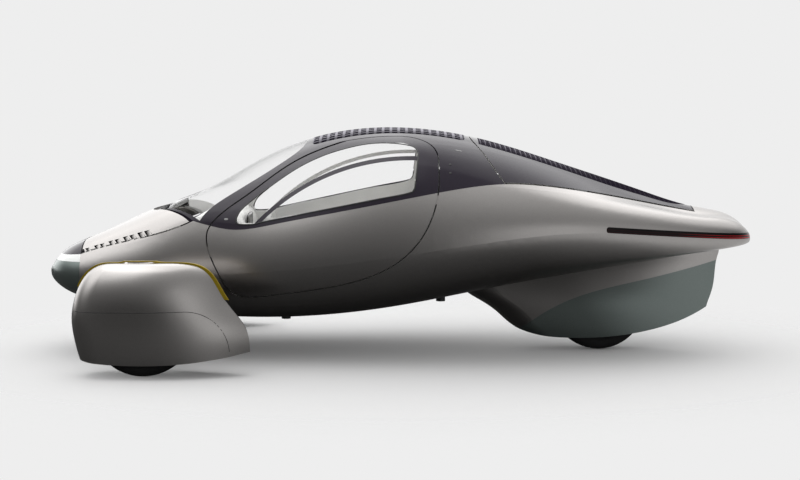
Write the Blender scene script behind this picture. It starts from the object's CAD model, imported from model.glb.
"""A teardrop solar car on a pale studio floor, seen from its left side.

Metres, +X to the nose, +Y to the left, +Z up, origin on the ground under the car.
"""

import bmesh
import bpy
import numpy as np
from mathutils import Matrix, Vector
from mathutils.bvhtree import BVHTree


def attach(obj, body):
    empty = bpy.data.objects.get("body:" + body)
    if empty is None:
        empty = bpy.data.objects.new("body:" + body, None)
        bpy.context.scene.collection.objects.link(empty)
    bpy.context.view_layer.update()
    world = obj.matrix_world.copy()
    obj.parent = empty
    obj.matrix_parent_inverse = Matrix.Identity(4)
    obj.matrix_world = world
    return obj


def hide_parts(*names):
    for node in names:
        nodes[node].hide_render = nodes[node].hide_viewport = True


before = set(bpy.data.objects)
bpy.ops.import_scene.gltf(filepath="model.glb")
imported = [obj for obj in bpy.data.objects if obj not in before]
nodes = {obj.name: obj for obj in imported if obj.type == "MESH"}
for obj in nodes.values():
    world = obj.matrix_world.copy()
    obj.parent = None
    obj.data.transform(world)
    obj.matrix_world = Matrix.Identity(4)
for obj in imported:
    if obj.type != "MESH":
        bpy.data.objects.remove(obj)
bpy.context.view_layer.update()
scene = bpy.context.scene

MM = 0.001
FRONT_AXLE_X = 1.459
REAR_AXLE_X = -1.247
WHEEL_Y = 0.95
TYRE_R = 0.295
TYRE_W = 0.185
RIM_R = 0.203
RIM_FACE = 69 * MM
HUB_FACE = 85 * MM
BOLT_CIRCLE_R = 85 * MM
SEAT_Y = 0.33
PAD_SWELL = 12 * MM
SKIRT_TOP_Z = 0.384
SKIRT_BEND_R = 0.2532
TURN = 2 * np.pi
SIDES = (("left", 1), ("right", -1))


# Finishes.


def linear(colour):
    """sRGB hex to linear RGBA."""
    c = np.array([int(colour[i : i + 2], 16) for i in (1, 3, 5)]) / 255
    c = np.where(c <= 0.04045, c / 12.92, ((c + 0.055) / 1.055) ** 2.4)
    return (*c.tolist(), 1.0)


def add(tree, kind, inputs=(), **settings):
    """Adds a node with its settings, then links or sets its inputs: a pair is a link, anything else a value."""
    made = tree.nodes.new("ShaderNode" + kind)
    for name, value in settings.items():
        setattr(made, name, value)
    for socket, value in dict(inputs).items():
        if isinstance(value, tuple) and isinstance(value[0], bpy.types.Node):
            tree.links.new(value[0].outputs[value[1]], made.inputs[socket])
        else:
            made.inputs[socket].default_value = value
    return made


def finish_of(name, **sockets):
    """New material: one Principled shader with the given sockets set. Returns material, tree, shader."""
    material = bpy.data.materials.new(name)
    material.use_nodes = True
    tree = material.node_tree
    shader = tree.nodes["Principled BSDF"]
    for socket, value in sockets.items():
        shader.inputs[socket.replace("_", " ")].default_value = value
    return material, tree, shader


def flake_paint(name, colour, deep, metallic, rough, coat, shine=0.5):
    """Sprayed metallic paint: fine flake that varies tone and gloss, and a faint orange-peel ripple of 9 mm."""
    material, tree, shader = finish_of(
        name, Metallic=metallic, Coat_Weight=coat, Coat_Roughness=0.08, Specular_IOR_Level=shine
    )
    place = add(tree, "TexCoord")
    # Flake is about 0.1 mm in life; it is drawn at 3 mm so that it shows as a soft grain.
    flake = add(tree, "TexNoise", {"Vector": (place, "Object"), "Scale": 1 / (3 * MM), "Detail": 2.0})
    tone = add(tree, "ValToRGB", {"Fac": (flake, "Fac")})
    tone.color_ramp.elements[0].position = 0.3
    tone.color_ramp.elements[0].color = linear(deep)
    tone.color_ramp.elements[1].position = 0.7
    tone.color_ramp.elements[1].color = linear(colour)
    tree.links.new(tone.outputs["Color"], shader.inputs["Base Color"])
    gloss = add(tree, "MapRange", {"Value": (flake, "Fac"), "To Min": rough - 0.03, "To Max": rough + 0.03})
    tree.links.new(gloss.outputs["Result"], shader.inputs["Roughness"])
    peel = add(tree, "TexNoise", {"Vector": (place, "Object"), "Scale": 1 / (9 * MM), "Detail": 1.0})
    bump = add(tree, "Bump", {"Height": (peel, "Fac"), "Strength": 0.02, "Distance": 0.5 * MM})
    tree.links.new(bump.outputs["Normal"], shader.inputs["Normal"])
    return material


def grained(name, colour, deep, rough, grain, depth):
    """Moulded plastic, leather or rubber: a cell grain of the given size and a tone that varies with it."""
    material, tree, shader = finish_of(name, Roughness=rough)
    place = add(tree, "TexCoord")
    cells = add(tree, "TexVoronoi", {"Vector": (place, "Object"), "Scale": 1 / grain})
    cloud = add(tree, "TexNoise", {"Vector": (place, "Object"), "Scale": 9.0, "Detail": 4.0})
    colours = {"A": linear(deep), "B": linear(colour)}
    tone = add(tree, "Mix", {"Factor": (cloud, "Fac"), **colours}, data_type="RGBA")
    tree.links.new(tone.outputs["Result"], shader.inputs["Base Color"])
    bump = add(tree, "Bump", {"Height": (cells, "Distance"), "Strength": 0.25, "Distance": depth})
    tree.links.new(bump.outputs["Normal"], shader.inputs["Normal"])
    return material


def brushed(name, colour, deep, rough, way):
    """Turned or brushed alloy: fine lines 1 mm apart across one axis vary its tone and gloss."""
    material, tree, shader = finish_of(name, Metallic=1.0)
    place = add(tree, "TexCoord")
    stretch = add(tree, "Mapping", {"Vector": (place, "Object"), "Scale": way})
    lines = add(tree, "TexNoise", {"Vector": (stretch, "Vector"), "Scale": 1 / (1 * MM), "Detail": 2.0})
    colours = {"A": linear(deep), "B": linear(colour)}
    tone = add(tree, "Mix", {"Factor": (lines, "Fac"), **colours}, data_type="RGBA")
    tree.links.new(tone.outputs["Result"], shader.inputs["Base Color"])
    gloss = add(tree, "MapRange", {"Value": (lines, "Fac"), "To Min": rough - 0.06, "To Max": rough + 0.06})
    tree.links.new(gloss.outputs["Result"], shader.inputs["Roughness"])
    return material


def stripes(tree, axis, pitch, width, shift=0.0):
    """1 on stripes across an axis, of the given width and pitch in metres, else 0."""
    moved = add(tree, "Math", {0: axis, 1: shift}, operation="ADD")
    turn = add(tree, "Math", {0: (moved, 0), 1: pitch}, operation="DIVIDE")
    part = add(tree, "Math", {0: (turn, 0)}, operation="FRACT")
    return add(tree, "Math", {0: (part, 0), 1: width / pitch}, operation="LESS_THAN")


def solar_cells(name, pitch, gap, cell_tone, gap_tone, band):
    """Silicon cells in rows under textured glass, with fine contact lines along each row. The gaps between
    the cells are pale about the middle, and darken towards a half width and a rear end, which band gives."""
    material, tree, shader = finish_of(name, Specular_IOR_Level=0.0)
    place = add(tree, "TexCoord")
    axes = add(tree, "SeparateXYZ", {"Vector": (place, "Object")})
    gap_x = stripes(tree, (axes, "X"), pitch, gap)
    gap_y = stripes(tree, (axes, "Y"), pitch, gap, gap / 2)
    wire = stripes(tree, (axes, "Y"), pitch / 4, 1.2 * MM)
    between = add(tree, "Math", {0: (gap_x, 0), 1: (gap_y, 0)}, operation="MAXIMUM")
    off = add(tree, "Math", {0: (axes, "Y")}, operation="ABSOLUTE")
    half_width, rear_x = band
    inside = {"Value": (off, 0), "From Min": half_width, "From Max": half_width / 2, "To Min": 0.1}
    inside = add(tree, "MapRange", inside)
    ahead = {"Value": (axes, "X"), "From Min": rear_x, "From Max": rear_x + 0.5, "To Min": 0.1}
    ahead = add(tree, "MapRange", ahead)
    banded = add(tree, "Math", {0: (inside, "Result"), 1: (ahead, "Result")}, operation="MULTIPLY")
    pale = add(tree, "Math", {0: (between, 0), 1: (banded, 0)}, operation="MULTIPLY")
    cloud = add(tree, "TexNoise", {"Vector": (place, "Object"), "Scale": 1 / pitch, "Detail": 1.0})
    colours = {"A": linear(cell_tone[0]), "B": linear(cell_tone[1])}
    cell = add(tree, "Mix", {"Factor": (cloud, "Fac"), **colours}, data_type="RGBA")
    lined = {"Factor": (wire, 0), "A": (cell, "Result"), "B": linear("#2a2830")}
    lined = add(tree, "Mix", lined, data_type="RGBA")
    both = {"Factor": (pale, 0), "A": (lined, "Result"), "B": linear(gap_tone)}
    both = add(tree, "Mix", both, data_type="RGBA")
    tree.links.new(both.outputs["Result"], shader.inputs["Base Color"])
    gloss = add(tree, "MapRange", {"Value": (between, 0), "To Min": 0.3, "To Max": 0.45})
    tree.links.new(gloss.outputs["Result"], shader.inputs["Roughness"])
    return material


def clear_glass(name, edge):
    """Laminated glass: clear when faced, and a dark mirror towards a grazing look, by the ninth power of the
    look's slant."""
    material, tree, mirror = finish_of(name, Base_Color=linear(edge), Roughness=0.03, IOR=1.5)
    look = add(tree, "LayerWeight", {"Blend": 0.5})
    edge_on = add(tree, "Math", {0: (look, "Facing"), 1: 9.0}, operation="POWER")
    share = add(tree, "MapRange", {"Value": (edge_on, 0), "To Min": 0.002, "To Max": 0.7})
    clear = add(tree, "BsdfTransparent")
    both = add(tree, "MixShader", {0: (share, "Result"), 1: (clear, 0), 2: (mirror, 0)})
    tree.links.new(both.outputs[0], tree.nodes["Material Output"].inputs["Surface"])
    return material


def red_lens():
    """Smoked acrylic over two red light lines that follow the lamp's slanting slot and brighten to the tail."""
    material, tree, shader = finish_of("smoked_red_acrylic", Roughness=0.2, Specular_IOR_Level=0.15)
    place = add(tree, "TexCoord")
    axes = add(tree, "SeparateXYZ", {"Vector": (place, "Object")})
    # Height above the slot's lower edge, which climbs from its rear end by 78 mm for each metre towards the nose.
    rear_x, rear_z, climb = -2.25, 0.706, 0.0783
    slope = {0: (axes, "X"), 1: -climb, 2: -rear_z + rear_x * climb}
    slope = add(tree, "Math", slope, operation="MULTIPLY_ADD")
    height = add(tree, "Math", {0: (axes, "Z"), 1: (slope, 0)}, operation="ADD")
    near = add(tree, "MapRange", {"Value": (axes, "X"), "From Min": -1.65, "From Max": -2.15, "To Min": 0.03})
    low = add(tree, "Math", {0: (height, 0), 1: 6 * MM, 2: 2.2 * MM}, operation="COMPARE")
    high = add(tree, "Math", {0: (height, 0), 1: 19 * MM, 2: 1.4 * MM}, operation="COMPARE")
    both = add(tree, "Math", {0: (low, 0), 1: (high, 0)}, operation="MAXIMUM")
    glow = add(tree, "Math", {0: (both, 0), 1: (near, "Result")}, operation="MULTIPLY")
    colours = {"A": linear("#0b0708"), "B": linear("#a3161c")}
    tone = add(tree, "Mix", {"Factor": (glow, 0), **colours}, data_type="RGBA")
    tree.links.new(tone.outputs["Result"], shader.inputs["Base Color"])
    shader.inputs["Emission Color"].default_value = linear("#c0141c")
    light = add(tree, "Math", {0: (glow, 0), 1: 0.25}, operation="MULTIPLY")
    tree.links.new(light.outputs[0], shader.inputs["Emission Strength"])
    return material


# Painted panels: sprayed metallic flake under lacquer, soft bright highlights and dark flanks.
silver = flake_paint("satin_silver_paint", "#aca9a7", "#a09d9b", 1.0, 0.3, 0.08)
plum = flake_paint("plum_black_lacquer", "#27212d", "#221c27", 0.0, 0.16, 0.0, 0.3)
slate = flake_paint("slate_green_paint", "#79827f", "#6e7775", 0.8, 0.3, 0.15)
gold = flake_paint("gold_paint", "#b39a1e", "#9a8418", 0.55, 0.35, 0.2)
# Moulded and sewn cabin surfaces: matt, with a fine grain that only shows close by.
white_trim = grained("white_moulded_trim", "#ececea", "#e2e2e0", 0.55, 2.2 * MM, 0.2 * MM)
grey_trim = grained("grey_moulded_plastic", "#a3a3a2", "#939393", 0.6, 2.0 * MM, 0.2 * MM)
leather = grained("pale_leather", "#dedcd7", "#d0cec9", 0.5, 3.0 * MM, 0.3 * MM)
carpet = grained("dark_needle_felt", "#3c3c3e", "#2e2e30", 0.95, 2.5 * MM, 1.0 * MM)
# Rubber and cast metal: dull, with a pebble that breaks up the light.
rubber = grained("tyre_rubber", "#1b1b1c", "#131314", 0.75, 3.0 * MM, 0.2 * MM)
seal_rubber = grained("black_seal_rubber", "#17171a", "#101012", 0.55, 1.5 * MM, 0.1 * MM)
grey_rubber = grained("grey_seal_rubber", "#8e8e8c", "#7c7c7b", 0.7, 1.5 * MM, 0.1 * MM)
cast = grained("black_cast_alloy", "#232427", "#1b1c1e", 0.5, 2.0 * MM, 0.2 * MM)
gloss_black = grained("black_gloss_plastic", "#0d0d10", "#08080a", 0.16, 2.0 * MM, 0.02 * MM)
# Bare metal: turned wheel discs and plated fasteners.
alloy = brushed("turned_alloy", "#96989b", "#84868a", 0.34, (1.0, 0.05, 1.0))
steel = brushed("zinc_plated_steel", "#b4b6b8", "#9c9ea1", 0.3, (0.2, 1.0, 1.0))
battery_case = brushed("brushed_alloy_case", "#9a9b9d", "#88898c", 0.38, (0.05, 1.0, 1.0))
# Lamps and glass.
lens_white, _, _ = finish_of(
    "frosted_acrylic",
    Base_Color=linear("#f1f3f1"),
    Roughness=0.25,
    Coat_Weight=0.5,
    Emission_Color=linear("#ffffff"),
    Emission_Strength=0.1,
)
lens_red = red_lens()
glass = clear_glass("laminated_glass", "#1a1c1e")
roof_cells = solar_cells("roof_solar_cells", 48 * MM, 16 * MM, ("#131118", "#1b1822"), "#a9a7ae", (0.24, -0.9))
deck_cells = solar_cells("deck_solar_cells", 31 * MM, 6 * MM, ("#17121c", "#1e1824"), "#8b8890", (0.24, -1.3))

FINISHES = {
    "lower_body": silver,
    "hood": silver,
    "roof": plum,
    "hatch": plum,
    "cowl": gloss_black,
    "nose_panel": plum,
    "nose_cap": slate,
    "rear_skirt": slate,
    "windscreen": glass,
    "solar_roof": roof_cells,
    "hatch_solar": deck_cells,
    "light_bar": lens_white,
    "tail_lamp": lens_red,
    "rim_rear": alloy,
    "tyre_rear": rubber,
    "swing_arm": cast,
    "jack_points": cast,
    "dashboard": white_trim,
    "console": grey_trim,
    "steering_yoke": white_trim,
    "floor": carpet,
    "battery": battery_case,
}
PAIRS = {
    "door_panel": silver,
    "door_frame": plum,
    "door_glass": glass,
    "pod": silver,
    "pod_skirt": silver,
    "pod_trim": gold,
    "arms": cast,
    "knuckle": cast,
    "tyre_front": rubber,
    "rim_front": alloy,
    "seat": leather,
}
for stem, material in PAIRS.items():
    FINISHES[stem + "_left"] = material
    FINISHES[stem + "_right"] = material
LINED = ("lower_body", "roof", "door_panel_left", "door_panel_right", "door_frame_left", "door_frame_right", "hatch")


def facets(obj):
    """Centres and outward directions of a node's facets, as arrays."""
    mesh = obj.data
    centre = np.empty(len(mesh.polygons) * 3)
    normal = np.empty(len(mesh.polygons) * 3)
    mesh.polygons.foreach_get("center", centre)
    mesh.polygons.foreach_get("normal", normal)
    return centre.reshape(-1, 3), normal.reshape(-1, 3)


def second_finish(obj, chosen, material):
    """The chosen facets of a node take another finish."""
    obj.data.materials.append(material)
    obj.data.polygons.foreach_set("material_index", chosen.astype(np.int32))


def line_inside(obj):
    """Facets that look towards the cabin's long axis are lined: normal dot radius well below zero. The cut edges
    of the doors' openings are not: their normals have no share across the car, and they lie off its middle."""
    axis_z, floor_z, inward, middle_half = 0.72, 0.3, -0.35, 0.22
    centre, normal = facets(obj)
    radius = centre - np.array((0.0, 0.0, axis_z))
    radius[:, 0] = 0
    radius /= np.maximum(np.linalg.norm(radius, axis=1), 1e-6)[:, None]
    edge = (abs(normal[:, 1]) < 0.01) & (abs(centre[:, 1]) > middle_half)
    faced = (normal * radius).sum(1) < inward
    second_finish(obj, faced & (centre[:, 2] > floor_z) & ~edge, white_trim)


def blacken_vents(obj):
    """Facets sunk below the hood's edge are black: some corner nearby stands further out along their normal."""
    corners_from_x, facets_from_x, nearby, sunk_by = 1.45, 1.47, 70 * MM, 12 * MM
    centre, normal = facets(obj)
    corner = np.empty(len(obj.data.vertices) * 3)
    obj.data.vertices.foreach_get("co", corner)
    corner = corner.reshape(-1, 3)
    corner = corner[corner[:, 0] > corners_from_x]
    outer = normal[:, 1] * np.sign(centre[:, 1]) + normal[:, 2] > -0.2
    near = (centre[:, 0] > facets_from_x) & outer
    sunk = np.zeros(len(centre), bool)
    reach = corner[None] - centre[near][:, None]
    proud = (reach * normal[near][:, None]).sum(2)
    proud[(reach**2).sum(2) > nearby**2] = -1
    sunk[near] = proud.max(1) > sunk_by
    second_finish(obj, sunk, gloss_black)


def rubber_rests(obj):
    """Facets of the body that stand in the seam of the hood or hatch are rubber: between two x, and 2 to 12 mm
    above the straight line that joins the seam's heights there."""
    centre, _ = facets(obj)
    x, height = centre[:, 0], centre[:, 2]
    index = np.empty(len(centre), np.int32)
    obj.data.polygons.foreach_get("material_index", index)
    rests = ((1.642, 1.558, 0.7165, 0.7385), (-1.038, -1.122, 1.0285, 1.0135))
    for front, rear, front_z, rear_z in rests:
        line = front_z + (rear_z - front_z) * (x - front) / (rear - front)
        proud = height - line
        index[(x < front) & (x > rear) & (proud > 2 * MM) & (proud < 12 * MM)] = 2
    obj.data.materials.append(seal_rubber)
    obj.data.polygons.foreach_set("material_index", index)


for name, material in FINISHES.items():
    nodes[name].data.materials.clear()
    nodes[name].data.materials.append(material)
for name in LINED:
    line_inside(nodes[name])
blacken_vents(nodes["hood"])
rubber_rests(nodes["lower_body"])


# Shapes.


def unit(v):
    return v / np.maximum(np.linalg.norm(v, axis=-1, keepdims=True), 1e-9)


def close_up(mesh):
    """Merges the points that meet at seams and poles, and turns all faces outwards."""
    shape = bmesh.new()
    shape.from_mesh(mesh)
    bmesh.ops.remove_doubles(shape, verts=shape.verts, dist=1e-6)
    bmesh.ops.dissolve_degenerate(shape, edges=shape.edges, dist=1e-7)
    bmesh.ops.recalc_face_normals(shape, faces=shape.faces)
    shape.to_mesh(mesh)
    shape.free()


def make(name, body, material, grids, smooth=True, replaced=()):
    """Piece over one grid of points, or a stack of grids (copies, rows, columns, 3), closed across its columns;
    it rides a body, has a slot, and may stand for CAD nodes."""
    grids = np.asarray(grids, float)
    grids = grids.reshape(-1, *grids.shape[-3:])
    copies, rows, columns, _ = grids.shape
    index = np.arange(rows * columns).reshape(rows, columns)
    index = np.hstack([index, index[:, :1]])
    quads = np.stack([index[:-1, :-1], index[1:, :-1], index[1:, 1:], index[:-1, 1:]], -1).reshape(-1, 4)
    quads = (quads[None] + np.arange(copies)[:, None, None] * rows * columns).reshape(-1, 4)
    mesh = bpy.data.meshes.new(name)
    mesh.from_pydata(grids.reshape(-1, 3).tolist(), [], quads.tolist())
    close_up(mesh)
    mesh.polygons.foreach_set("use_smooth", np.full(len(mesh.polygons), smooth))
    mesh.materials.append(material)
    made = bpy.data.objects.new(name, mesh)
    scene.collection.objects.link(made)
    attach(made, body)
    if replaced:
        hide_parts(*replaced)
    return made


def ended(grid):
    """The grid with its first and last rows drawn to their centres, which closes both ends."""
    first = np.broadcast_to(grid[:1].mean(1, keepdims=True), grid[:1].shape)
    last = np.broadcast_to(grid[-1:].mean(1, keepdims=True), grid[-1:].shape)
    return np.concatenate([first, grid, last])


def looped(grid):
    """The grid with its first row repeated at the end."""
    return np.concatenate([grid, grid[:1]])


def smooth_line(points, count, loop=False):
    """Curve through the points: each span is the cubic of its two ends and their two neighbours."""
    p = np.array(points, float)
    n = len(p)
    spans = n if loop else n - 1
    t = np.linspace(0, spans, count, endpoint=not loop)
    i = np.minimum(t.astype(int), spans - 1)
    f = (t - i)[:, None]
    a, b, c, d = (p[(i + k) % n] if loop else p[np.clip(i + k, 0, n - 1)] for k in (-1, 0, 1, 2))
    return b + 0.5 * f * (c - a + f * (2 * a - 5 * b + 4 * c - d + f * (3 * (b - c) + d - a)))


def oval(width, height, count, power=2.0):
    """Superellipse: half width and half height times the cosine and sine, each to the power 2 / power."""
    t = np.linspace(0, TURN, count, endpoint=False)
    c, s = np.cos(t), np.sin(t)
    return np.stack([width * np.sign(c) * abs(c) ** (2 / power), height * np.sign(s) * abs(s) ** (2 / power)], 1)


def swept(path, out, profile, loop=False):
    """Profile (across, outwards) carried along a path: point + across * (way x out) + outwards * out."""
    way = np.roll(path, -1, 0) - np.roll(path, 1, 0) if loop else np.gradient(path, axis=0)
    side = unit(np.cross(unit(way), out))
    return path[:, None] + side[:, None] * profile[None, :, :1] + out[:, None] * profile[None, :, 1:]


def skin(*names):
    """Search tree over the facets of some panels."""
    corners, faces, count = [], [], 0
    for name in names:
        mesh = nodes[name].data
        mesh.calc_loop_triangles()
        co = np.empty(len(mesh.vertices) * 3)
        tri = np.empty(len(mesh.loop_triangles) * 3, np.int32)
        mesh.vertices.foreach_get("co", co)
        mesh.loop_triangles.foreach_get("vertices", tri)
        corners.append(co.reshape(-1, 3))
        faces.append(tri.reshape(-1, 3) + count)
        count += len(mesh.vertices)
    return BVHTree.FromPolygons(np.vstack(corners).tolist(), np.vstack(faces).tolist())


def dropped(panels, starts, way):
    """Where lines from the starts along a way first meet the panels, and the panels' outward direction there. A line
    that slips through a joint takes its nearest neighbour's place."""
    hits = [panels.ray_cast(Vector(start), Vector(way)) for start in starts]
    met = np.array([i for i, hit in enumerate(hits) if hit[0] is not None])
    nearest = met[abs(np.arange(len(hits))[:, None] - met).argmin(1)]
    point = np.array([hits[i][0] for i in nearest])
    out = np.array([hits[i][1] for i in nearest])
    return point, out * -np.sign((out * np.array(way)).sum(1, keepdims=True))


def from_side(panels, line, side):
    """Side-view points (x, z) dropped on the left or right flank."""
    line = np.asarray(line, float)
    start = np.stack([line[:, 0], np.full(len(line), side * 2.0), line[:, 1]], 1)
    return dropped(panels, start, (0.0, -side, 0.0))


# Outlines (x, z) of the door's window and of the door below the roof, in the side view.
WINDOW = np.array([
    (955, 834), (873, 834), (793, 852), (455, 922), (152, 984), (-40, 1021), (-82, 1044), (-92, 1090), (-105, 1200),
    (-106, 1255), (-68, 1291), (78, 1308), (231, 1296), (399, 1254), (529, 1203), (642, 1142), (772, 1053),
    (880, 972), (946, 912), (970, 860),
]) * MM
DOOR = np.array([
    (402, 1299), (571, 1233), (722, 1146), (916, 1003), (1086, 876), (1148, 785), (1137, 675), (1060, 508), (985, 418),
    (900, 400), (740, 416), (480, 456), (240, 511), (40, 602), (-110, 737), (-190, 880), (-230, 1040), (-234, 1160),
]) * MM
DOOR_GAP = 8 * MM

# Rubber seals round the door windows, in the joint between glass and frame.
for word, side in SIDES:
    flank = skin("door_frame_" + word, "door_glass_" + word, "door_panel_" + word)
    rim_line = smooth_line(WINDOW, 260, loop=True)
    point, out = from_side(flank, rim_line, side)
    out = unit(sum(np.roll(out, step, 0) for step in (2, 1, 0, -1, -2)))
    band = swept(point, out, oval(5 * MM, 2.2 * MM, 10), loop=True)
    make("window_seal_" + word, "door_" + word, seal_rubber, looped(band))


# Rubber lips inside the door openings.
def door_lip(word, side):
    """Strip along the door's outline behind its seam: one edge lies on the body's inner wall, the other stands
    6 mm clear of the door's inner wall; its four corners are carried along the outline."""
    lap = 12 * MM
    body_near, body_far = 0.5 * MM, 4 * MM
    door_near, door_far = 6 * MM, 9 * MM
    line = smooth_line(DOOR, 240)
    way = unit(np.gradient(line, axis=0))
    outward = np.stack([-way[:, 1], way[:, 0]], 1)
    line = line - outward * DOOR_GAP / 2
    inward = (0.0, float(side), 0.0)
    walls = (
        (skin("roof", "lower_body"), lap),
        (skin("door_panel_" + word, "door_frame_" + word), -lap),
    )
    edges = []
    for panels, shift in walls:
        spot = line + outward * shift
        start = np.stack([spot[:, 0], np.zeros(len(spot)), spot[:, 1]], 1)
        edges.append(dropped(panels, start, inward))
    (body, body_out), (door, door_out) = edges
    corners = [
        body + body_out * body_near,
        door + door_out * door_near,
        door + door_out * door_far,
        body + body_out * body_far,
    ]
    strip = ended(np.stack(corners, 1))
    make("door_lip_" + word, "chassis", grey_rubber, strip, smooth=False)


for word, side in SIDES:
    door_lip(word, side)


# Joint lines of the wheel fairings' lower skirts.
def skirt_seam(word, side):
    """Fine rubber line on the fairing: level, then nearly a quarter turn down to its lower edge."""
    front_x, bend_x, count = 0.38, -0.24, 60
    level = np.linspace(front_x, bend_x, count)
    bend = np.linspace(np.pi / 2, np.radians(176), count)[1:]
    x = np.concatenate([level, bend_x + SKIRT_BEND_R * np.cos(bend)]) + FRONT_AXLE_X
    z = SKIRT_TOP_Z - SKIRT_BEND_R + SKIRT_BEND_R * np.concatenate([np.ones(count), np.sin(bend)])
    fairing = skin("pod_" + word, "pod_skirt_" + word)
    point, out = from_side(fairing, np.stack([x, z], 1), side)
    band = ended(swept(point + out * 0.4 * MM, out, oval(1.5 * MM, 0.9 * MM, 8)))
    make("skirt_seam_" + word, "steer_" + word, seal_rubber, band)


# Slats in the vents along the hood's edge. These lengths are in millimetres.
VENTS = 5
VENT_FIRST_X, VENT_PITCH = 1925, 92
VENT_LENGTH, VENT_LONGER = 62, 4
VENT_HEIGHT, VENT_TALLER = 26, 3
VENT_LEAN = 26
HOOD_FRONT_X = 1926
SLAT_GAP = 9


def hood_seam(x):
    """Height of the hood's lower seam: a straight line in the side view."""
    return 632 + (1940 - x) * 0.2722


def vent_slats(word, side):
    """Two strips in each vent, between a line below the hood's seam and one above the vent; each is sunk by 10 mm
    at its front and rises nearly to the skin at its rear, by the square of one less its share along."""
    below, above = skin("lower_body"), skin("hood")
    along = np.linspace(0.08, 0.94, 8)
    up = np.array([0.24, 0.45, 0.65, 0.86])
    depth = ((1 - along) ** 2 * 9 * MM + 1 * MM)[:, None, None]
    thick = 1.5 * MM
    slats = []
    for i in range(VENTS):
        first = VENT_FIRST_X - VENT_PITCH * i
        last = first - (VENT_LENGTH + VENT_LONGER * i)
        middle = (first + last) / 2
        top = VENT_HEIGHT + VENT_TALLER * i + 5
        for front, rear in ((first, middle + SLAT_GAP / 2), (middle - SLAT_GAP / 2, last)):
            x = front + (rear - front) * along
            low, low_out = from_side(below, np.stack([x, hood_seam(x) - 6], 1) * MM, side)
            x = np.minimum(x + VENT_LEAN, HOOD_FRONT_X)
            high, high_out = from_side(above, np.stack([x, hood_seam(x) + top], 1) * MM, side)
            out = unit(low_out + high_out)[:, None]
            face = low[:, None] + (high - low)[:, None] * up[None, :, None] - out * depth
            slats.append(ended(np.concatenate([face, (face - out * thick)[:, ::-1]], 1)))
    make("vent_slats_" + word, "hood_lid", silver, np.array(slats), smooth=False)


for word, side in SIDES:
    skirt_seam(word, side)
    vent_slats(word, side)


# Small flush fittings: door releases and a marker on the rear pillar, a side marker ahead of the door window.
def button(name, body, material, panels, side, spots, size, rise):
    """Low domes on a flank: an oval ring drawn in to its centre as it rises along the skin's normal, on a flat
    base just under the skin."""
    ring = oval(*size, 28, 2.6)
    share = np.array([0.0, 1.0, 1.0, 0.9, 0.6, 0.0])
    height = np.array([-0.6, -0.6, 0.5, 0.85, 1.0, 1.0]) * rise
    flat = ring[None] * share[:, None, None]
    grids = []
    for spot in spots:
        point, out = from_side(panels, [spot], side)
        along = unit(np.array([1.0, 0, 0]) - out[0] * out[0, 0])
        up = np.cross(out[0], along)
        grids.append(point + flat[..., :1] * along + flat[..., 1:] * up + height[:, None, None] * out[0])
    make(name, body, material, np.array(grids))


for word, side in SIDES:
    pillar, door = skin("roof"), skin("door_frame_" + word)
    # Stem, body, slot, finish, panel, spots (x, z), half sizes, rise.
    for stem, body, slot, finish, panel, spots, size, rise in (
        ("door_release_", "chassis", "running_gear", seal_rubber, pillar,
         [(-0.297, 1.185), (-0.297, 1.137)], (8 * MM, 8 * MM), 1.5 * MM),
        ("pillar_marker_", "chassis", "lamp_white", grey_trim, pillar,
         [(-0.352, 1.262)], (21 * MM, 5 * MM), 1.5 * MM),
        ("side_marker_", "door_" + word, "lamp_white", grey_trim, door,
         [(1.03, 0.862)], (12 * MM, 6 * MM), 2 * MM),
    ):
        button(stem + word, body, finish, panel, side, spots, size, rise)


# Tyres with road tread.
def arc_through(a, m, b, count):
    """Points on the circle through three points of a plane, from the first past the second to the last."""
    a, m, b = (complex(*p) for p in (a, m, b))
    w = (b - a) / (m - a)
    centre = a + (m - a) * (w - abs(w) ** 2) / (2j * w.imag)
    turn = np.unwrap(np.angle(np.array([a, m, b]) - centre))
    point = centre + abs(a - centre) * np.exp(1j * np.linspace(turn[0], turn[2], count))
    return np.stack([point.real, point.imag], 1)


def tyre(name, body, x, y):
    """Tyre section turned about the axle; the tread sinks by three ring grooves and by slanting slots, and the
    walls by a ring line."""
    grooves, groove_half, groove_deep = (-38 * MM, 0, 38 * MM), 4 * MM, 6 * MM
    blocks, slot_deep, rib_high = 48, 3.5 * MM, 0.8 * MM
    half = TYRE_W / 2
    shoulder = (half - 22 * MM, TYRE_R - 8 * MM)
    wall = arc_through((half - 15 * MM, RIM_R), (half, RIM_R + 45 * MM), shoulder, 11)
    tread = arc_through(shoulder, (0, TYRE_R), (-shoulder[0], shoulder[1]), 56)
    section = np.vstack([wall[:-1], tread, (wall * (-1, 1))[::-1][1:]])
    across, radius = section.T
    angle = np.linspace(0, TURN, 384, endpoint=False)[:, None]
    on_tread = np.clip((radius - shoulder[1]) / (1 * MM), 0, 1)
    ring = sum(np.clip((groove_half - abs(across - middle)) / (1.2 * MM), 0, 1) for middle in grooves)
    phase = (angle * blocks / TURN + 9 * across + 0.5 * (across > 0)) % 1
    slot = np.clip((0.14 - abs(phase - 0.5)) / 0.05, 0, 1) * (abs(across) > 14 * MM)
    rib = rib_high * (abs(radius - RIM_R - 62 * MM) < 4 * MM)
    depth = on_tread * np.maximum(groove_deep * ring, slot_deep * slot) + rib
    reach = radius - depth - 0.1 * MM
    grid = np.stack([x + reach * np.sin(angle), y + across + 0 * angle, TYRE_R + reach * np.cos(angle)], 2)
    make("road_tyre_" + name, body, rubber, looped(grid), replaced=("tyre_" + name,))


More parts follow.
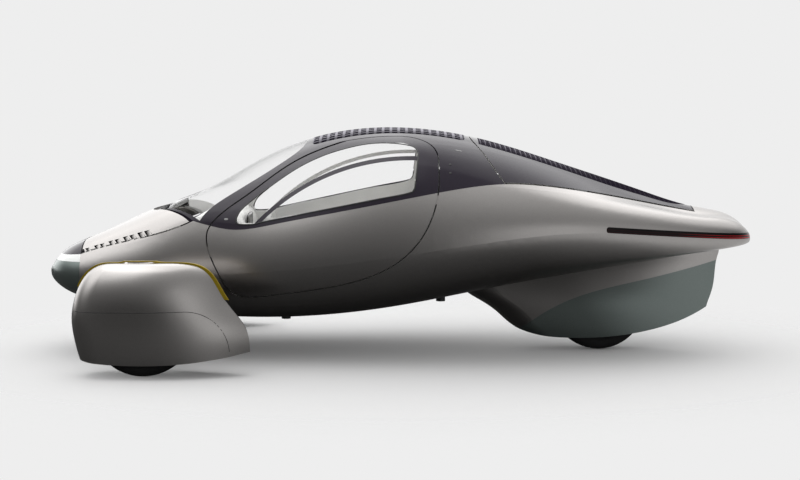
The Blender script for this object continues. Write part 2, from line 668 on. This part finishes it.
def wheel_nuts(name, body, x, y, side):
    """Five hexagon nuts on a circle and a hollow domed hub cap: short profiles (radius, height) turned in six or
    thirty-six steps."""
    nut = np.array([(0, 14), (7, 14), (10, 12), (10, 0), (0, 0)]) * MM
    cap = np.array([(0, 16), (20, 14), (32, 8), (36, 2), (36, 0), (30, 0), (27, 5), (0, 6)]) * MM
    six = np.linspace(0, TURN, 6, endpoint=False)
    many = np.linspace(0, TURN, 36, endpoint=False)

    def turned(profile, steps, centre):
        radius, height = profile.T[:, :, None]
        grid = [radius * np.cos(steps), side * height + 0 * steps, radius * np.sin(steps)]
        return np.stack(grid, 2) + np.array(centre)

    spots = np.linspace(0, TURN, 5, endpoint=False) + 0.3
    rim_y, hub_y = y + side * RIM_FACE, y + side * HUB_FACE
    across, up = x + BOLT_CIRCLE_R * np.cos(spots), TYRE_R + BOLT_CIRCLE_R * np.sin(spots)
    nuts = [turned(nut, six, (a, rim_y, u)) for a, u in zip(across, up)]
    make("wheel_nuts_" + name, body, steel, np.array(nuts), smooth=False)
    make("hub_cap_" + name, body, alloy, turned(cap, many, (x, hub_y, TYRE_R)))


for word, side in SIDES:
    tyre("front_" + word, "wheel_" + word, FRONT_AXLE_X, side * WHEEL_Y)
    wheel_nuts("front_" + word, "wheel_" + word, FRONT_AXLE_X, side * WHEEL_Y, side)
tyre("rear", "wheel_rear", REAR_AXLE_X, 0.0)


# Seats: sewn leather pads on a moulded shell.
def pad(x, z, half_long, half_wide, half_thick, tilt, power):
    """Superellipsoid: thickness by the sine of latitude, length and width by its cosine, each to a power, then
    tilted."""
    lat = np.linspace(-np.pi / 2, np.pi / 2, 25)[:, None]
    lon = np.linspace(0, TURN, 64, endpoint=False)[None]
    level = abs(np.cos(lat)).round(9) ** power
    along = half_long * level * np.sign(np.cos(lon)) * abs(np.cos(lon)) ** power
    wide = half_wide * level * np.sign(np.sin(lon)) * abs(np.sin(lon)) ** power
    thick = half_thick * np.sign(np.sin(lat)) * abs(np.sin(lat)) ** power + 0 * lon
    c, s = np.cos(np.radians(tilt)), np.sin(np.radians(tilt))
    return np.stack([x + along * c - thick * s, SEAT_Y + wide, z + along * s + thick * c], 2)


def plumped(soft, cap):
    """Remeshes pads to even quads of 8 mm and lets air pressure swell them by cloth simulation, no point by more
    than the cap. Returns the points."""
    scene.view_layers[0].update()
    voxels = soft.modifiers.new("even_quads", "REMESH")
    voxels.mode = "VOXEL"
    voxels.voxel_size = 8 * MM
    even = bpy.data.meshes.new_from_object(soft.evaluated_get(bpy.context.evaluated_depsgraph_get()))
    soft.modifiers.clear()
    soft.data = even
    start = np.empty(len(even.vertices) * 3)
    even.vertices.foreach_get("co", start)
    cloth = soft.modifiers.new("air", "CLOTH")
    cloth.settings.use_pressure = True
    cloth.settings.uniform_pressure_force = 4
    cloth.settings.effector_weights.gravity = 0
    for step in range(1, 21):
        scene.frame_set(step)
    swollen = bpy.data.meshes.new_from_object(soft.evaluated_get(bpy.context.evaluated_depsgraph_get()))
    soft.modifiers.clear()
    scene.frame_set(1)
    end = np.empty(len(swollen.vertices) * 3)
    swollen.vertices.foreach_get("co", end)
    bpy.data.meshes.remove(swollen)
    start, move = start.reshape(-1, 3), (end - start).reshape(-1, 3)
    length = np.linalg.norm(move, axis=1, keepdims=True)
    return start + move * np.minimum(1, cap / np.maximum(length, 1e-9))


def sewn(mesh, point):
    """Seams: the leather sinks along its normal by a bell curve about two lines along the seat, 105 mm off its
    middle, and less deeply about cross lines between them, 130 mm apart. Returns the points."""
    line_off, pitch, deep = 105 * MM, 130 * MM, 6 * MM
    mesh.vertices.foreach_set("co", point.ravel())
    mesh.update()
    normal = np.zeros(len(point) * 3)
    mesh.vertices.foreach_get("normal", normal)
    normal = normal.reshape(-1, 3)
    faced = np.clip(normal @ np.array((0.6, 0.0, 0.8)) * 2, 0, 1)
    wide = abs(point[:, 1] - SEAT_Y)
    along = abs(wide - line_off)
    across = abs((point[:, 0] * 0.35 + point[:, 2] * 0.94) % pitch - pitch / 2)
    seam = np.exp(-((along / (7 * MM)) ** 2))
    cross = (wide < line_off) * 0.7 * np.exp(-((across / (6 * MM)) ** 2))
    return point - normal * (np.maximum(seam, cross) * faced * deep)[:, None]


def seats():
    """Left seat from swollen pads; the right one is its points mirrored, with each face's corners in reverse."""
    # Seat, back and head rest: x, z, half length, width and thickness, tilt in degrees, power.
    pads = [
        pad(0.285, 0.487, 0.262, 0.196, 0.058, 7, 0.42),
        pad(-0.103, 0.785, 0.235, 0.196, 0.042, 110.5, 0.42),
        pad(-0.176, 1.035, 0.055, 0.12, 0.034, 110.5, 0.5),
    ]
    left = make("seat_pads_left", "chassis", leather, np.array(pads), replaced=("seat_left",))
    swollen = plumped(left, PAD_SWELL)
    mesh = left.data
    point = sewn(mesh, swollen)
    mesh.vertices.foreach_set("co", point.ravel())
    mesh.materials.clear()
    mesh.materials.append(leather)
    mesh.polygons.foreach_set("use_smooth", np.full(len(mesh.polygons), True))
    corners = np.empty(len(mesh.polygons) * 4, np.int32)
    mesh.polygons.foreach_get("vertices", corners)
    twin = bpy.data.meshes.new("seat_pads_right")
    twin.from_pydata((point * (1, -1, 1)).tolist(), [], corners.reshape(-1, 4)[:, ::-1].tolist())
    twin.materials.append(leather)
    twin.polygons.foreach_set("use_smooth", np.full(len(twin.polygons), True))
    right = bpy.data.objects.new("seat_pads_right", twin)
    scene.collection.objects.link(right)
    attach(right, "chassis")
    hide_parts("seat_right")
    for soft in (left, right):
        finer = soft.modifiers.new("finer", "SUBSURF")
        finer.levels = finer.render_levels = 1
    shells = np.array([
        pad(0.24, 0.432, 0.215, 0.17, 0.03, 2, 0.3),
        pad(-0.15, 0.80, 0.27, 0.19, 0.02, 108.0, 0.35),
    ])
    for word, side in SIDES:
        make("seat_shell_" + word, "chassis", grey_trim, shells * (1, side, 1))


seats()


# Cabin and cowl fittings.
def centre_screen():
    """Rounded slab: an oval of high power, drawn in a little at both faces."""
    screen_x, screen_z = 0.938, 0.79
    ring = oval(0.165, 0.07, 64, 7)
    share = np.array([0.0, 0.97, 1.0, 1.0, 0.97, 0.0])
    depth = np.array([0, 0, 2, 8, 10, 10]) * MM
    flat = ring[None] * share[:, None, None]
    grid = np.stack([screen_x + depth[:, None] + 0 * flat[..., 0], flat[..., 0], screen_z + flat[..., 1]], 2)
    make("centre_screen", "chassis", gloss_black, grid)


def wiper():
    """Blade and arm: slim ovals carried along arcs that lie in the cowl's trough."""
    trough = skin("cowl")
    pivot_x = 0.952
    for name, radius, span, size, lift in (
        ("wiper_blade", 0.525, (-0.5, 0.52), (4 * MM, 6 * MM), 8 * MM),
        ("wiper_arm", 0.546, (-0.05, 0.56), (7 * MM, 4 * MM), 7 * MM),
    ):
        turn = np.linspace(*span, 60)
        start = np.stack([pivot_x + radius * np.cos(turn), radius * np.sin(turn), 2 + 0 * turn], 1)
        point, out = dropped(trough, start, (0.0, 0.0, -1.0))
        strip = ended(swept(point + out * lift, out, oval(*size, 12, 3)))
        make(name, "chassis", seal_rubber, strip)


centre_screen()
wiper()


# Studio: pale paper floor that fades into the backdrop, a bright wall behind the car, two broad boxes overhead,
# a low one at the left rear and two small ones in the cabin.
BACKDROP = "#eeeeee"
scene.view_settings.view_transform = "Standard"


def paper_floor():
    """Square of paper 60 m wide. The camera and glass see it pale, and it clears into the backdrop away from the
    car; panels mirror it as a darker floor that is lit towards the tail."""
    half = 30
    corners = [(-half, -half, 0), (half, -half, 0), (half, half, 0), (-half, half, 0)]
    mesh = bpy.data.meshes.new("studio_floor")
    mesh.from_pydata(corners, [], [(0, 1, 2, 3)])
    floor = bpy.data.objects.new("studio_floor", mesh)
    scene.collection.objects.link(floor)
    material, tree, paper = finish_of(
        "studio_paper",
        Base_Color=linear("#dadada"),
        Roughness=0.9,
        Emission_Color=linear("#ffffff"),
        Emission_Strength=0.05,
    )
    path = add(tree, "LightPath")
    place = add(tree, "TexCoord")
    spread = add(tree, "VectorMath", {0: (place, "Object"), 1: (0.75, 1.0, 1.0)}, operation="MULTIPLY")
    far = add(tree, "VectorMath", {0: (spread, "Vector")}, operation="LENGTH")
    fade = {"Value": (far, "Value"), "From Min": 1.1, "From Max": 2.8}
    fade = add(tree, "MapRange", fade, interpolation_type="SMOOTHSTEP")
    clear = add(tree, "BsdfTransparent")
    pale = add(tree, "MixShader", {0: (fade, "Result"), 1: (paper, 0), 2: (clear, 0)})
    axes = add(tree, "SeparateXYZ", {"Vector": (place, "Object")})
    along = add(tree, "MapRange", {"Value": (axes, "X"), "From Min": 0.6, "From Max": -2.4})
    tone = add(tree, "ValToRGB", {"Fac": (along, "Result")})
    tone.color_ramp.elements[0].color = linear("#464646")
    tone.color_ramp.elements[1].color = linear("#e0e0e0")
    tone.color_ramp.elements.new(0.55).color = linear("#4e4e4e")
    tone.color_ramp.elements.new(0.8).color = linear("#848484")
    dark = add(tree, "BsdfDiffuse", {"Color": (tone, "Color")})
    seen = add(tree, "Math", {0: (path, "Is Camera Ray"), 1: (path, "Is Transmission Ray")}, operation="MAXIMUM")
    shown = add(tree, "MixShader", {0: (seen, 0), 1: (dark, 0), 2: (pale, 0)})
    tree.links.new(shown.outputs[0], tree.nodes["Material Output"].inputs["Surface"])
    mesh.materials.append(material)


def studio_walls():
    """World: backdrop grey to the camera and through glass. Panels mirror it too, dimming from overhead to floor,
    with the wall behind the car and three reflectors lit more than the rest. The rest of the light is even."""
    world = bpy.data.worlds.new("studio")
    scene.world = world
    world.use_nodes = True
    tree = world.node_tree
    path = add(tree, "LightPath")
    place = add(tree, "TexCoord")
    axes = add(tree, "SeparateXYZ", {"Vector": (place, "Generated")})
    rise = {"Value": (axes, "Z"), "From Min": 0.05, "From Max": 0.95, "To Min": 0.17, "To Max": 0.7}
    rise = add(tree, "MapRange", rise, interpolation_type="SMOOTHSTEP")
    back = {"Value": (axes, "Y"), "From Min": -0.15, "From Max": -0.75}
    back = add(tree, "MapRange", back, interpolation_type="SMOOTHSTEP")
    above = add(tree, "MapRange", {"Value": (axes, "Z"), "From Min": -0.18, "From Max": 0.0})
    ahead = add(tree, "Math", {0: (axes, "X"), 1: 1.0, 2: 1.45}, operation="MULTIPLY_ADD")
    lit = add(tree, "Math", {0: (back, "Result"), 1: (above, "Result")}, operation="MULTIPLY")
    wall = add(tree, "Math", {0: (lit, 0), 1: (ahead, 0), 2: (rise, "Result")}, operation="MULTIPLY_ADD")
    # Reflectors over the tail, over the left front and low at the left rear: way, cosines where each starts and
    # is full, brightness.
    for way, first, full, brightness in (
        ((-0.62, -0.32, 0.71), 0.82, 0.97, 1.0),
        ((0.55, 0.12, 0.82), 0.67, 0.92, 1.9),
        ((-0.68, 0.73, 0.0), 0.8, 0.98, 0.45),
    ):
        toward = add(tree, "VectorMath", {0: (place, "Generated"), 1: way}, operation="DOT_PRODUCT")
        spot = {"Value": (toward, "Value"), "From Min": first, "From Max": full, "To Max": brightness}
        spot = add(tree, "MapRange", spot, interpolation_type="SMOOTHSTEP")
        wall = add(tree, "Math", {0: (wall, 0), 1: (spot, "Result")}, operation="ADD")
    seen = add(tree, "Math", {0: (path, "Is Camera Ray"), 1: (path, "Is Transmission Ray")}, operation="MAXIMUM")
    level = add(tree, "Mix", {"Factor": (path, "Is Glossy Ray"), "A": 1.0, "B": (wall, 0)})
    seen = add(tree, "Math", {0: (seen, 0), 1: (path, "Is Glossy Ray")}, operation="MAXIMUM")
    fill = tree.nodes["Background"]
    fill.inputs["Color"].default_value = linear("#ffffff")
    fill.inputs["Strength"].default_value = 0.85
    shown = add(tree, "Background", {"Color": linear(BACKDROP), "Strength": (level, "Result")})
    mix = add(tree, "MixShader", {0: (seen, 0), 1: (fill, 0), 2: (shown, 0)})
    tree.links.new(mix.outputs[0], tree.nodes["World Output"].inputs["Surface"])


def soft_box(name, place, aim, size, brightness):
    """Area light at place, facing aim; its power is brightness times pi times its area."""
    light = bpy.data.lights.new(name, "AREA")
    light.shape = "RECTANGLE"
    light.size, light.size_y = size
    light.energy = brightness * np.pi * size[0] * size[1]
    lamp = bpy.data.objects.new(name, light)
    lamp.location = place
    lamp.rotation_euler = (Vector(aim) - Vector(place)).to_track_quat("-Z", "Y").to_euler()
    lamp.visible_camera = False
    scene.collection.objects.link(lamp)


paper_floor()
studio_walls()
soft_box("front_overhead_box", (1.9, -0.6, 4.6), (1.9, 0.2, 0.6), (4.0, 7.2), 1.0)
soft_box("rear_overhead_box", (-2.1, -1.4, 4.6), (-2.1, 0.2, 0.6), (4.0, 5.2), 0.6)
for word, side in SIDES:
    soft_box("cabin_box_" + word, (0.3, side * 0.12, 1.02), (0.3, -side, 0.75), (1.0, 0.24), 1.6)
soft_box("left_rear_box", (-3.4, 7.5, 1.5), (-0.4, 0, 0.6), (3.0, 2.4), 0.5)

# Camera fitted to the photo: focal length, picture width and drop of its middle below the horizon, in pixels.
FOCAL, WIDTH, DROP = 1534, 800, 149.3
SENSOR = 36
camera_data = bpy.data.cameras.new("camera")
camera_data.sensor_width = SENSOR
camera_data.lens = SENSOR * FOCAL / WIDTH
camera = bpy.data.objects.new("camera", camera_data)
camera.location = (0, 9.6, 1.62)
camera.rotation_euler = (np.pi / 2 - np.arctan(DROP / FOCAL), 0, np.pi)
scene.collection.objects.link(camera)
scene.camera = camera
